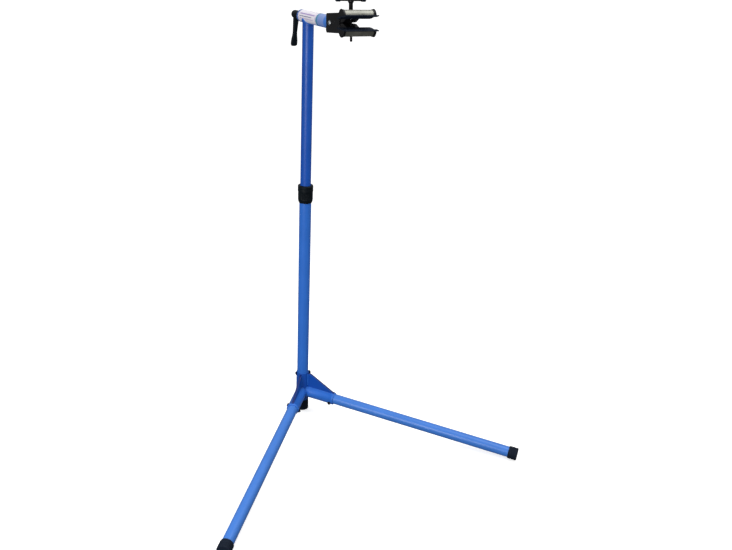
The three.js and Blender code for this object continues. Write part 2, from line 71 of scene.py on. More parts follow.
CAP_START, CAP_END, CAP_RADIUS = 810.0, 842.0, 22.3
GUSSET_NOSE, GUSSET_TOP, GUSSET_HALF = 131.0, 156.0, 4.0
PAD_DEPTH, PAD_HALF = 57.0, 53.0
COVER_HALF, COVER_MIDDLE, COVER_WIDTH, COVER_BASE, COVER_HEIGHT = 49.7, 27.0, 14.5, 2.0, 19.5
JAW_OPEN = 7.0  # degrees that each pad is turned from the head's centre line at rest
PAD_CORNER = (82.0, 13.7)  # a pad's rear back edge, in the head's frame
SCREW_X, TRUNNION_Z, TRUNNION_RADIUS, SCREW_TIP = 68.0, 21.0, 8.0, -51.5
BAR_Z, BAR_RADIUS, BAR_HALF, KNOB_LENGTH = 65.0, 5.3, 47.0, 12
HUB_FRONT, HUB_REAR, HUB_FLOOR, HUB_BORE = -52.0, -108.0, -95.3, 8.3
LEVER_AT, LEVER_LENGTH, LEVER_LEAN = -91.0, 103.0, 18.0
PIVOT_X, PIVOT_Z = 38.0, 16.5
YOKE_HALF = 22.3  # from the head's middle to the seats of its bolts and pins
HEAD_X, BEND_X, YOKE_BOLT_X = 220.0, 175.0, 197.0  # the head is bent nose-up from BEND_X

# ---------------------------------------------------------------- frames
leg_slope = math.atan((LEG_TOP - LEG_TIP) / LEG_LENGTH)
arm_low, arm_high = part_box("arm_tube")
ARM_HEIGHT = (arm_low.z + arm_high.z) / 2 / MM
screw_axis = Vector(JOINTS["screw_turn"]["axis"])
head_pitch = math.atan2(-screw_axis.x, screw_axis.z)
STAND = Matrix.Identity(4)
ARM = Matrix.Translation((0, 0, ARM_HEIGHT * MM))


def head_line(x):
    """Height of the head's centre line at a station along the arm."""
    return ARM_HEIGHT + (x - BEND_X) * math.tan(head_pitch)


HEAD = Matrix.Translation((HEAD_X * MM, 0, head_line(HEAD_X) * MM)) @ Matrix.Rotation(-head_pitch, 4, "Y")


def leg_frame(side):
    turn = Matrix.Rotation(side * math.radians(LEG_AZIMUTH), 4, "Z")
    return Matrix.Translation((0, 0, LEG_TOP * MM)) @ turn @ Matrix.Rotation(leg_slope, 4, "Y")


# ---------------------------------------------------------------- materials
def noise(nodes, scale, detail=4.0, roughness=0.5):
    node = nodes.new("ShaderNodeTexNoise")
    node.inputs["Scale"].default_value = scale
    node.inputs["Detail"].default_value = detail
    node.inputs["Roughness"].default_value = roughness
    return node


def ramp(nodes, low, high):
    node = nodes.new("ShaderNodeValToRGB")
    for stop, position, colour in zip(node.color_ramp.elements, (0.35, 0.65), (low, high)):
        stop.position = position
        stop.color = (*colour, 1)
    return node


def surface(name, low, high, rough, metallic=0.0, grain=400.0, bump=0.1, patch=9.0, stretch=(1, 1, 1),
            coat=0.0, specular=0.5):
    """A principled material: colour drifts between low and high in soft patches, roughness between
    the two values of rough, and a fine grain gives the bump."""
    material = bpy.data.materials.new(name)
    material.use_nodes = True
    tree = material.node_tree
    nodes, links = tree.nodes, tree.links
    shader = nodes["Principled BSDF"]
    shader.inputs["Metallic"].default_value = metallic
    shader.inputs["Coat Weight"].default_value = coat
    shader.inputs["Coat Roughness"].default_value = 0.25
    shader.inputs["Specular IOR Level"].default_value = specular
    place = nodes.new("ShaderNodeTexCoord")
    squeeze = nodes.new("ShaderNodeMapping")
    squeeze.inputs["Scale"].default_value = stretch
    links.new(place.outputs["Object"], squeeze.inputs["Vector"])

    patches = noise(nodes, patch)
    colours = ramp(nodes, low, high)
    links.new(place.outputs["Object"], patches.inputs["Vector"])
    links.new(patches.outputs["Fac"], colours.inputs["Fac"])
    links.new(colours.outputs["Color"], shader.inputs["Base Color"])

    smudges = noise(nodes, patch * 3.1, 6.0, 0.6)
    spread = nodes.new("ShaderNodeMapRange")
    spread.inputs["From Min"].default_value = 0.3
    spread.inputs["From Max"].default_value = 0.7
    spread.inputs["To Min"].default_value = rough[0]
    spread.inputs["To Max"].default_value = rough[1]
    links.new(squeeze.outputs["Vector"], smudges.inputs["Vector"])
    links.new(smudges.outputs["Fac"], spread.inputs["Value"])
    links.new(spread.outputs["Result"], shader.inputs["Roughness"])

    fine = noise(nodes, grain, 3.0, 0.55)
    relief = nodes.new("ShaderNodeBump")
    relief.inputs["Strength"].default_value = bump
    relief.inputs["Distance"].default_value = 0.0004
    links.new(squeeze.outputs["Vector"], fine.inputs["Vector"])
    links.new(fine.outputs["Fac"], relief.inputs["Height"])
    links.new(relief.outputs["Normal"], shader.inputs["Normal"])
    return material


def paint(name, low, high, grain=700, bump=0.12):
    return surface(name, low, high, (0.36, 0.48), grain=grain, bump=bump, coat=0.12, specular=0.3)


BLUE = paint("blue_powder_coat", (0.020, 0.125, 0.50), (0.026, 0.145, 0.56))
# painted shade: a darker copy of the one blue coat, for the upper mast, sleeve and gussets, which sit in
# shade
BLUE_SHADED = paint("shaded_blue_powder_coat", (0.003, 0.058, 0.33), (0.005, 0.070, 0.38))
# painted light: a paler copy of the same blue coat, for the legs and arm tube, which catch more light
BLUE_LIT = paint("lit_blue_powder_coat", (0.036, 0.155, 0.52), (0.045, 0.178, 0.58))
# painted shade: a near-black blue that stands for the shadow along the gussets' sloping rims
BLUE_RIM_SHADE = paint("painted_rim_shade", (0.001, 0.012, 0.11), (0.002, 0.018, 0.14))
WELD = paint("painted_weld", (0.018, 0.125, 0.50), (0.024, 0.145, 0.56), grain=260, bump=0.3)
PLASTIC = surface("moulded_black_plastic", (0.001, 0.003, 0.005), (0.003, 0.006, 0.009), (0.42, 0.55),
                  grain=900, bump=0.25, specular=0.12)
RUBBER = surface("black_rubber", (0.003, 0.006, 0.014), (0.006, 0.011, 0.022), (0.6, 0.8), grain=1100,
                 bump=0.35, specular=0.12)
BLACK_STEEL = surface("black_coated_steel", (0.003, 0.003, 0.004), (0.006, 0.006, 0.007), (0.34, 0.48),
                      grain=800, bump=0.15, specular=0.14)
ZINC = surface("zinc_plate", (0.38, 0.40, 0.42), (0.50, 0.51, 0.50), (0.35, 0.5), metallic=1.0,
               grain=300, bump=0.1, patch=60)
COVER = surface("pale_jaw_cover", (0.13, 0.13, 0.11), (0.18, 0.18, 0.155), (0.35, 0.48), metallic=0.7,
                grain=220, bump=0.12, patch=30, stretch=(8, 0.6, 8))
BRASS = surface("turned_brass", (0.55, 0.42, 0.18), (0.66, 0.52, 0.26), (0.22, 0.35), metallic=1.0,
                grain=500, bump=0.1, patch=50)
NYLON = surface("dark_nylon", (0.006, 0.007, 0.009), (0.012, 0.013, 0.016), (0.5, 0.62), grain=900,
                bump=0.2)


# ---------------------------------------------------------------- mesh helpers
def finish(obj, material, body, stands_for=(), sharp=38):
    """Material, shading, body and replaced CAD nodes of a new piece."""
    work = bmesh.new()
    work.from_mesh(obj.data)
    bmesh.ops.recalc_face_normals(work, faces=work.faces)
    work.to_mesh(obj.data)
    work.free()
    obj.data.materials.clear()
    obj.data.materials.append(material)
    for polygon in obj.data.polygons:
        polygon.use_smooth = True
    obj.data.set_sharp_from_angle(angle=math.radians(sharp))
    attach(obj, body)
    if stands_for:
        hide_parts(*stands_for)
    return obj


def object_from(name, points, faces, place=STAND):
    """A mesh object from millimetre points in a frame; a mirrored frame is allowed."""
    mesh = bpy.data.meshes.new(name)
    mesh.from_pydata([place @ (Vector(p) * MM) for p in points], [], faces)
    obj = bpy.data.objects.new(name, mesh)
    bpy.context.scene.collection.objects.link(obj)
    return obj


def soften(points, radius, closed=True, arc=4):
    """The outline with each corner turned into a small arc."""
    count = len(points)
    result = []
    for i, point in enumerate(points):
        here = Vector(point)
        if not closed and i in (0, count - 1):
            result.append(here)
            continue
        before, after = Vector(points[i - 1]), Vector(points[(i + 1) % count])
        back, ahead = before - here, after - here
        reach = min(radius, 0.45 * back.length, 0.45 * ahead.length)
        start, end = here + back.normalized() * reach, here + ahead.normalized() * reach
        for k in range(arc + 1):
            t = k / arc
            result.append((1 - t) ** 2 * start + 2 * t * (1 - t) * here + t * t * end)
    return result


BASIS = {"x": ((1, 0, 0), (0, 1, 0), (0, 0, 1)),
         "y": ((0, 1, 0), (0, 0, 1), (1, 0, 0)),
         "z": ((0, 0, 1), (1, 0, 0), (0, 1, 0))}


def lathe(name, profile, axis="z", centre=(0, 0, 0), place=STAND, steps=96, edge=0.8, shape=None):
    """A turned piece from [radius, station] points. A profile that starts on the axis ends on it;
    any other closes on itself. shape(angle, radius, station) may move a point."""
    along, across, up = (Vector(v) for v in BASIS[axis])
    solid = profile[0][0] == 0
    points = soften(profile, edge, closed=not solid) if edge else [Vector(p) for p in profile]
    verts, faces, rings = [], [], []
    for p in points:
        if p.x < 1e-6:
            rings.append([len(verts)])
            verts.append(Vector(centre) + along * p.y)
            continue
        ring = []
        for k in range(steps):
            angle = 2 * math.pi * k / steps
            radius, station = shape(angle, p.x, p.y) if shape else (p.x, p.y)
            ring.append(len(verts))
            verts.append(Vector(centre) + along * station
                         + (across * math.cos(angle) + up * math.sin(angle)) * radius)
        rings.append(ring)
    pairs = list(zip(rings, rings[1:]))
    if not solid:
        pairs.append((rings[-1], rings[0]))
    for a, b in pairs:
        for k in range(steps):
            n = (k + 1) % steps
            if len(a) == 1 and len(b) == 1:
                continue
            if len(a) == 1:
                faces.append((a[0], b[k], b[n]))
            elif len(b) == 1:
                faces.append((a[k], b[0], a[n]))
            else:
                faces.append((a[k], b[k], b[n], a[n]))
    return object_from(name, verts, faces, place)


def plug(name, radius, start, end, axis, centre, place, edge=0):
    """A plain turned bar."""
    return lathe(name, [(0, start), (radius, start), (radius, end), (0, end)], axis, centre, place, edge=edge)


def pipe(name, outer, inner, start, end, axis="z", centre=(0, 0, 0), place=STAND, shape=None, rings=1,
         edge=0.6):
    """A length of tube with eased ends."""
    profile = [(inner, start)]
    profile += [(outer, start + (end - start) * i / rings) for i in range(rings + 1)]
    profile += [(inner, end)]
    return lathe(name, profile, axis, centre, place, shape=shape, edge=edge)


def extruded(name, outline, half, place):
    """A closed outline in a frame's XZ plane, pulled along Y from -half to +half."""
    count = len(outline)
    verts = [(p[0], y, p[1]) for y in (-half, half) for p in outline]
    faces = [(i, (i + 1) % count, count + (i + 1) % count, count + i) for i in range(count)]
    faces += [tuple(range(count)), tuple(range(count, 2 * count))]
    return object_from(name, verts, faces, place)


def sweep(name, path, radius, ripple, place=STAND, closed=True):
    """A weld bead along a path; ripple gives its scales."""
    sides, pitch = 10, 3.0
    points = [Vector(p) for p in path]
    count = len(points)
    normal = None
    verts, faces, travelled = [], [], 0.0
    for i, point in enumerate(points):
        if closed:
            before, after = points[i - 1], points[(i + 1) % count]
        else:
            before, after = points[max(i - 1, 0)], points[min(i + 1, count - 1)]
        tangent = (after - before).normalized()
        if normal is None:
            normal = tangent.orthogonal().normalized()
        normal = (normal - tangent * normal.dot(tangent)).normalized()
        other = tangent.cross(normal)
        if i:
            travelled += (point - points[i - 1]).length
        size = radius * (1 + ripple * abs(math.sin(math.pi * travelled / pitch)))
        if not closed:
            size *= min(1.0, 0.35 + 0.35 * min(i, count - 1 - i))
        for k in range(sides):
            angle = 2 * math.pi * k / sides
            verts.append(point + (normal * math.cos(angle) + other * math.sin(angle)) * size)
    for i in range(count if closed else count - 1):
        j = (i + 1) % count
        # the frame turns a little round a closed path, so the last ring joins the nearest start
        shift = 0
        if closed and j == 0:
            last = verts[i * sides]
            shift = min(range(sides), key=lambda s: (verts[s] - last).length)
        for k in range(sides):
            n = (k + 1) % sides
            faces.append((i * sides + k, i * sides + n, j * sides + (n + shift) % sides,
                          j * sides + (k + shift) % sides))
    if not closed:
        faces += [tuple(range(sides)), tuple(range((count - 1) * sides, count * sides))]
    return object_from(name, verts, faces, place)


def merged_copy(name, node):
    """A new mesh with the CAD node's shape, its shared vertices merged."""
    mesh = NODES[node].data.copy()
    mesh.name = name
    obj = bpy.data.objects.new(name, mesh)
    bpy.context.scene.collection.objects.link(obj)
    work = bmesh.new()
    work.from_mesh(mesh)
    bmesh.ops.remove_doubles(work, verts=work.verts, dist=2e-5)
    work.to_mesh(mesh)
    work.free()
    return obj


def apply_modifiers(obj):
    depsgraph = bpy.context.evaluated_depsgraph_get()
    mesh = bpy.data.meshes.new_from_object(obj.evaluated_get(depsgraph))
    obj.modifiers.clear()
    obj.data = mesh
    return obj


def combine(obj, *parts):
    """Joins or cuts a solid with helper solids, which are then removed."""
    for helper, operation in parts:
        boolean = obj.modifiers.new(operation, "BOOLEAN")
        boolean.operation = operation
        boolean.solver = "EXACT"
        boolean.object = helper
    apply_modifiers(obj)
    for helper, _ in parts:
        bpy.data.objects.remove(helper)


def eased(obj, voxel, passes):
    """Rebuilds a solid with softly rounded edges, as moulding and casting leave them."""
    remesh = obj.modifiers.new("remesh", "REMESH")
    remesh.mode = "VOXEL"
    remesh.voxel_size = voxel * MM
    smooth = obj.modifiers.new("smooth", "SMOOTH")
    smooth.factor = 0.5
    smooth.iterations = passes
    return apply_modifiers(obj)


def cast(name, node, material, body, voxel=0.8, passes=4):
    """The CAD node's shape with cast edges, standing for the node."""
    obj = eased(merged_copy(name, node), voxel, passes)
    return finish(obj, material, body, [node], sharp=60)


def hexagon(flat):
    """Radius of a hexagon with that half width across flats, by angle."""
    return lambda angle: flat / math.cos((angle % (math.pi / 3)) - math.pi / 6)


def nut(name, node, flat, bore, low, high, material, body, place, centre=(0, 0, 0)):
    """A hexagon nut with chamfered corners."""
    across = hexagon(flat)
    full = flat * 1.155

    def shape(angle, radius, station):
        if radius < flat:
            return radius, station
        near_end = min(station - low, high - station)
        return min(across(angle), full - 1.2 + near_end * 1.6), station

    middle = (low + high) / 2
    profile = [(bore, low), (full, low), (full, low + 0.9), (full, middle), (full, high - 0.9),
               (full, high), (bore, high)]
    obj = lathe(name, profile, "y", centre, place, steps=72, edge=0, shape=shape)
    return finish(obj, material, body, [node], sharp=25)


def bolt_head(name, radius, seat, height, direction, place, material, body, socket=2.6):
    """A domed head with a hexagon socket."""
    across = hexagon(socket)
    profile = [(0, seat), (radius, seat), (radius, seat + direction * height * 0.45),
               (radius * 0.8, seat + direction * height * 0.85), (socket * 1.35, seat + direction * height),
               (socket, seat + direction * height), (socket, seat + direction * height * 0.35),
               (0, seat + direction * height * 0.35)]

    def shape(angle, r, station):
        return (across(angle), station) if abs(r - socket) < 0.05 else (r, station)

    obj = lathe(name, profile, "y", place=place, steps=72, edge=0, shape=shape)
    return finish(obj, material, body, [], sharp=30)


# ---------------------------------------------------------------- camera, floor and light
def look(azimuth, pitch, roll):
    """A camera's turn from where it looks (azimuth from +X), how far down, and its roll."""
    a, p, r = (math.radians(v) for v in (azimuth, pitch, roll))
    forward = Vector((math.cos(a) * math.cos(p), math.sin(a) * math.cos(p), -math.sin(p)))
    level = Vector((math.sin(a), -math.cos(a), 0))
    up = level.cross(forward)
    right = level * math.cos(r) + up * math.sin(r)
    up = right.cross(forward)
    return Matrix((right, up, -forward)).transposed().to_4x4()


def build_camera():
    data = bpy.data.cameras.new("photo_camera")
    data.sensor_width = 36
    data.lens = 38.52
    camera = bpy.data.objects.new("photo_camera", data)
    distance, azimuth, height = 2.618, -25.3, 1.674
    around = math.radians(azimuth)
    spot = (distance * math.cos(around), distance * math.sin(around), height)
    camera.matrix_world = Matrix.Translation(spot) @ look(149.8, 22.93, 2.82)
    bpy.context.scene.collection.objects.link(camera)
    bpy.context.scene.camera = camera


def stage_piece(name, verts, faces, colour, glow):
    """Floor or backdrop: seen by the camera, but neither lighting the stand nor mirrored in it."""
    mesh = bpy.data.meshes.new(name)
    mesh.from_pydata(verts, [], faces)
    piece = bpy.data.objects.new(name, mesh)
    bpy.context.scene.collection.objects.link(piece)
    material = bpy.data.materials.new(name)
    material.use_nodes = True
    shader = material.node_tree.nodes["Principled BSDF"]
    shader.inputs["Base Color"].default_value = (*colour, 1)
    shader.inputs["Roughness"].default_value = 0.9
    shader.inputs["Specular IOR Level"].default_value = 0.0
    shader.inputs["Emission Color"].default_value = (1, 1, 1, 1)
    shader.inputs["Emission Strength"].default_value = glow
    mesh.materials.append(material)
    piece.visible_glossy = False
    piece.visible_diffuse = False
    return piece


def build_stage():
    far, drop = 60.0, -0.0005
    stage_piece("floor", [(-far, -far, drop), (far, -far, drop), (far, far, drop), (-far, far, drop)],
                [(0, 1, 2, 3)], (0.80, 0.80, 0.80), 0.55)
    turns, rings, verts, faces = 48, 12, [], []
    for i in range(rings + 1):
        rise = math.pi / 2 * i / rings
        for k in range(turns):
            around = 2 * math.pi * k / turns
            verts.append((far * math.cos(rise) * math.cos(around), far * math.cos(rise) * math.sin(around),
                          far * math.sin(rise) + drop))
    for i in range(rings):
        for k in range(turns):
            n = (k + 1) % turns
            faces.append((i * turns + k, i * turns + n, (i + 1) * turns + n, (i + 1) * turns + k))
    dome = stage_piece("backdrop", verts, faces, (0, 0, 0), 1.0)
    dome.visible_shadow = False


def area_light(name, spot, target, power):
    data = bpy.data.lights.new(name, "AREA")
    data.shape = "DISK"
    data.size = 1.4
    data.energy = power
    light = bpy.data.objects.new(name, data)
    light.location = spot
    light.rotation_euler = (Vector(target) - Vector(spot)).to_track_quat("-Z", "Y").to_euler()
    bpy.context.scene.collection.objects.link(light)


def build_light():
    """A soft overhead sky that darkens towards the floor, with a large key light at the front."""
    world = bpy.data.worlds.new("studio")
    world.use_nodes = True
    nodes, links = world.node_tree.nodes, world.node_tree.links
    place = nodes.new("ShaderNodeTexCoord")
    parts = nodes.new("ShaderNodeSeparateXYZ")
    fade = nodes.new("ShaderNodeMapRange")
    fade.inputs["From Min"].default_value = -0.15
    fade.inputs["From Max"].default_value = 0.9
    fade.inputs["To Min"].default_value = 0.18
    fade.inputs["To Max"].default_value = 0.9
    links.new(place.outputs["Generated"], parts.inputs["Vector"])
    links.new(parts.outputs["Z"], fade.inputs["Value"])
    background = nodes["Background"]
    background.inputs["Color"].default_value = (1, 1, 1, 1)
    links.new(fade.outputs["Result"], background.inputs["Strength"])
    bpy.context.scene.world = world
    area_light("key", (1.9, -2.2, 1.3), (0.1, 0, 0.6), 60)
    area_light("top", (0.5, 0.9, 2.6), (0.1, 0, 0.5), 24)
    bpy.context.scene.view_settings.view_transform = "Standard"


# ---------------------------------------------------------------- base
def saddle_path(small, large, steps=120):
    """Where a tube of radius small, along x, runs out of a round post of radius large."""
    path = []
    for k in range(steps):
        angle = 2 * math.pi * k / steps
        y, z = small * math.cos(angle), small * math.sin(angle)
        path.append((math.sqrt(max(large**2 - y**2, 0)), y, z))
    return path


def build_base():
    sleeve = pipe("sleeve_body", SLEEVE, SLEEVE_BORE, SLEEVE_LOW, SLEEVE_HIGH, edge=0.9)
    finish(sleeve, BLUE_SHADED, "base", ["base_sleeve"])
    lower = pipe("lower_mast", LOWER_MAST, LOWER_MAST - LOWER_WALL, MAST_FOOT, MAST_LOCK, rings=12)
    finish(lower, BLUE, "base", ["lower_mast_tube"])
    bore = LOWER_MAST + 0.2
    cap = [(0, 0), (17, 0), (17, 1.4), (19, 1.4), (19, 0), (23.8, 0), (23.8, 6), (23.2, 7.5), (23.2, 9.5),
           (23.7, 11), (23.4, 26), (23.1, 38), (23.1, 42), (bore, 42), (bore, 6), (0, 6)]
    finish(lathe("rear_foot", cap, edge=1.4), RUBBER, "base", ["rear_foot_cap"])

    across = Matrix.Translation((0, 0, SLEEVE_BOLT_HEIGHT * MM)) @ Matrix.Rotation(
        math.radians(SLEEVE_BOLT_AZIMUTH), 4, "Z")
    seat = SLEEVE + 0.3
    bolt_head("sleeve_bolt_head", 6.5, -seat, 4, -1, across, BLACK_STEEL, "base", socket=2.8)
    shank = plug("sleeve_bolt_shank", 4, -seat - 0.5, 30, "y", (0, 0, 0), across, edge=0.6)
    finish(shank, BLACK_STEEL, "base", ["sleeve_bolt"])
    nut("sleeve_lock_nut", "sleeve_nut", 6.9, 4.3, seat, seat + 6, BLACK_STEEL, "base",
        across)
    for side, name in ((1, "left"), (-1, "right")):
        build_leg(side, name)


def build_leg(side, name):
    place = leg_frame(side)

    def root_end(angle, radius, station):
        """The socket's inner end follows the sleeve's wall."""
        y, z = radius * math.cos(angle), radius * math.sin(angle)
        across = side * y  # towards the other leg this is negative
        start = math.sqrt(max((SLEEVE - 0.4) ** 2 - y * y, 0)) + z * math.tan(leg_slope)
        meet = max(0.0, -across) * 1.12  # the plane halfway between the legs
        return (radius, max(start, meet) if station < 30 else station)

    lip = 1.1
    profile = [(SOCKET_RADIUS, 40), (SOCKET_RADIUS, SOCKET_END - 9), (SOCKET_RADIUS + lip, SOCKET_END - 8),
               (SOCKET_RADIUS + lip, SOCKET_END - 1), (SOCKET_RADIUS + lip - 1, SOCKET_END),
               (SOCKET_BORE, SOCKET_END), (SOCKET_BORE, 10), (SOCKET_RADIUS, 10)]
    socket = lathe(f"{name}_socket", profile, "x", place=place, edge=0, shape=root_end)
    finish(socket, BLUE, "base", [f"{name}_leg_socket"], sharp=50)
    tube = pipe(f"{name}_leg", LEG_RADIUS, LEG_RADIUS - LEG_WALL, LEG_HEEL, CAP_END - 3.5, "x", place=place,
                rings=12)
    finish(tube, BLUE_LIT, "base", [f"{name}_leg_tube"])

    root = [p for p in saddle_path(SOCKET_RADIUS + 0.3, SLEEVE) if side * p[1] > -14.5]
    gaps = [(Vector(root[i]) - Vector(root[i - 1])).length for i in range(len(root))]
    split = gaps.index(max(gaps))
    bead = sweep(f"{name}_socket_weld", root[split:] + root[:split], 2.0, 0.16, place, closed=False)
    finish(bead, WELD, "base", ())

    inner = LEG_RADIUS + 0.2
    cap = [(0, CAP_END), (CAP_RADIUS - 1.5, CAP_END), (CAP_RADIUS, CAP_END - 2)]
    for start in (833, 824, 815):
        cap += [(CAP_RADIUS, start), (CAP_RADIUS - 0.8, start - 1), (CAP_RADIUS - 0.8, start - 2.6),
                (CAP_RADIUS, start - 3.6)]
    cap += [(CAP_RADIUS - 1, CAP_START), (inner, CAP_START), (inner, 838.3), (0, 838.3)]
    foot = lathe(f"{name}_foot", cap, "x", place=place, edge=0.5)
    for vertex in foot.data.vertices:
        vertex.co.z = max(vertex.co.z, 0.0)
    finish(foot, RUBBER, "base", [f"{name}_leg_foot"])

    tilt = place @ Matrix.Translation((LEG_BOLT_AT * MM, 0, 0)) @ Matrix.Rotation(
        side * math.radians(LEG_BOLT_TILT), 4, "X")
    seat = SOCKET_RADIUS + 0.3
    bolt_head(f"{name}_bolt_head", 6.5, side * seat, 4.5, side, tilt, BLACK_STEEL, "base")
    low, high = sorted((side * (seat + 0.5), -side * 30))
    shank = plug(f"{name}_bolt_shank", 3, low, high, "y", (0, 0, 0), tilt, edge=0.5)
    finish(shank, BLACK_STEEL, "base", [f"{name}_leg_bolt"])
    low, high = sorted((-side * seat, -side * (seat + 5.5)))
    nut(f"{name}_lock_nut", f"{name}_leg_nut", 5.9, 3.3, low, high, BLACK_STEEL, "base",
        tilt)

    plate = cast(f"{name}_gusset_plate", f"{name}_gusset", BLUE_SHADED, "base", voxel=0.7,
                 passes=3)
    shade_gusset_rim(plate, side)
    build_gusset_welds(side, name)


def shade_gusset_rim(plate, side):
    """Painted shade along the gusset's sloping rim: those faces take a darker blue than the plate's faces."""
    plate.data.materials.append(BLUE_RIM_SHADE)
    across = Vector((-math.sin(side * math.radians(LEG_AZIMUTH)), math.cos(math.radians(LEG_AZIMUTH)), 0))
    for polygon in plate.data.polygons:
        # faces along the sloping rim take the painted shade
        if abs(polygon.normal.dot(across)) < 0.6 and polygon.normal.z > 0.3:
            polygon.material_index = 1


def build_gusset_welds(side, name):
    """Fillet beads on both faces of a gusset, up the sleeve and out along the socket."""
    turn = Matrix.Rotation(side * math.radians(LEG_AZIMUTH), 4, "Z")
    half = GUSSET_HALF + 0.1
    top = LEG_TOP + SOCKET_RADIUS / math.cos(leg_slope) - 0.3
    for face, tag in ((1, "a"), (-1, "b")):
        upright = [(SLEEVE + 0.2, face * half, z) for z in range(106, int(GUSSET_TOP) - 2)]
        run = [(r, face * half, top - r * math.tan(leg_slope)) for r in range(28, int(GUSSET_NOSE) - 1)]
        for way, path in (("up", upright), ("along", run)):
            bead = sweep(f"{name}_gusset_weld_{way}_{tag}", path, 1.5, 0.18, turn, closed=False)
            finish(bead, WELD, "base", ())


# ---------------------------------------------------------------- mast lock, upper mast and arm
def build_mast():
    thread = pipe("lock_thread_base", COLLAR_THREAD, LOWER_MAST + 0.3, COLLAR_THREAD_FOOT, MAST_LOCK - 2,
                  edge=0.5)
    finish(thread, PLASTIC, "base", ["collar_base"])
    collar_low, collar_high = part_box("height_collar")
    low, high = collar_low.z / MM, collar_high.z / MM
    rim = COLLAR_RADIUS
    waist = rim - 0.8

    def ribbed(angle, radius, station):
        """Finger ribs run up the waist of the collar."""
        if radius < waist - 0.9 or not low + 8 < station < high - 24:
            return radius, station
        fade = min(1.0, (station - low - 8) / 4, (high - 24 - station) / 3)
        return radius - 0.9 * fade * (0.5 - 0.5 * math.cos(COLLAR_RIBS * angle)) ** 0.6, station

    outside = [(COLLAR_THREAD + 0.3, low), (rim - 2.0, low), (rim - 1.2, low + 6)]
    outside += [(waist, low + 8 + i) for i in range(0, int(high - low) - 31)]
    outside += [(waist, high - 23), (rim, high - 21), (rim, high - 14), (rim - 0.5, high - 13.2),
                (rim - 0.5, high - 11.8), (rim, high - 11), (rim, high - 2), (rim - 1.6, high)]
    mouth = UPPER_MAST + 0.5
    inside = [(mouth, high), (mouth, high - 5), (COLLAR_THREAD + 0.3, MAST_LOCK + 4)]
    collar = lathe("twist_collar", outside + inside, steps=240, edge=0.35, shape=ribbed)
    finish(collar, PLASTIC, "collar", ["height_collar"])

    def notch(angle, radius, station):
        """The tube's top is fish-mouthed to fit under the arm."""
        if station < ARM_HEIGHT - 50:  # only the top ring is shaped
            return radius, station
        side = radius * math.sin(angle)
        return radius, ARM_HEIGHT - math.sqrt(max((ARM_RADIUS + 0.3) ** 2 - side**2, 0))

    tube = pipe("upper_mast_pipe", UPPER_MAST, UPPER_MAST - UPPER_WALL, UPPER_MAST_FOOT, ARM_HEIGHT - 19,
                rings=14, shape=notch, edge=0)
    finish(tube, BLUE_SHADED, "upper_mast", ["upper_mast_tube"])

    path, steps = [], 110
    for k in range(steps):
        angle = 2 * math.pi * k / steps
        x, y = UPPER_MAST * math.cos(angle), UPPER_MAST * math.sin(angle)
        path.append((x * 1.03, y * 1.03, ARM_HEIGHT - math.sqrt(ARM_RADIUS**2 - y * y) - 0.6))
    finish(sweep("arm_weld", path, 2.1, 0.16), WELD, "upper_mast", ())


def build_arm():
    tube = pipe("arm_pipe", ARM_RADIUS, ARM_RADIUS - ARM_WALL, ARM_REAR, ARM_FRONT, "x", place=ARM, rings=6,
                edge=0.8)
    finish(tube, BLUE_LIT, "upper_mast", ["arm_tube"])
    for name, node, low, high in (("arm_rear_cup", "arm_rear_bush", ARM_REAR - 3.0, ARM_REAR - 0.3),
                                  ("arm_front_cup", "arm_front_bush", ARM_FRONT + 0.3, ARM_FRONT + 3.0)):
        bore, stem, inward = 8.3, 16.7, 23.7
        if node == "arm_rear_bush":
            profile = [(bore, low), (ARM_RADIUS, low), (ARM_RADIUS, high), (stem, high),
                       (stem, high + inward), (bore, high + inward)]
        else:
            profile = [(bore, low - inward), (stem, low - inward), (stem, low), (ARM_RADIUS, low),
                       (ARM_RADIUS, high), (bore, high)]
        finish(lathe(name, profile, "x", place=ARM), NYLON, "upper_mast", [node])
    build_label()


def product(tree, first, second):
    """One node's value times another's."""
    node = tree.nodes.new("ShaderNodeMath")
    node.operation = "MULTIPLY"
    tree.links.new(first, node.inputs[0])
    tree.links.new(second, node.inputs[1])
    return node.outputs[0]


def band(tree, coordinate, low, high):
    """1 where a coordinate lies between two values, else 0."""
    tests = []
    for operation, limit in (("GREATER_THAN", low), ("LESS_THAN", high)):
        test = tree.nodes.new("ShaderNodeMath")
        test.operation = operation
        test.inputs[1].default_value = limit
        tree.links.new(coordinate, test.inputs[0])
        tests.append(test.outputs[0])
    return product(tree, *tests)


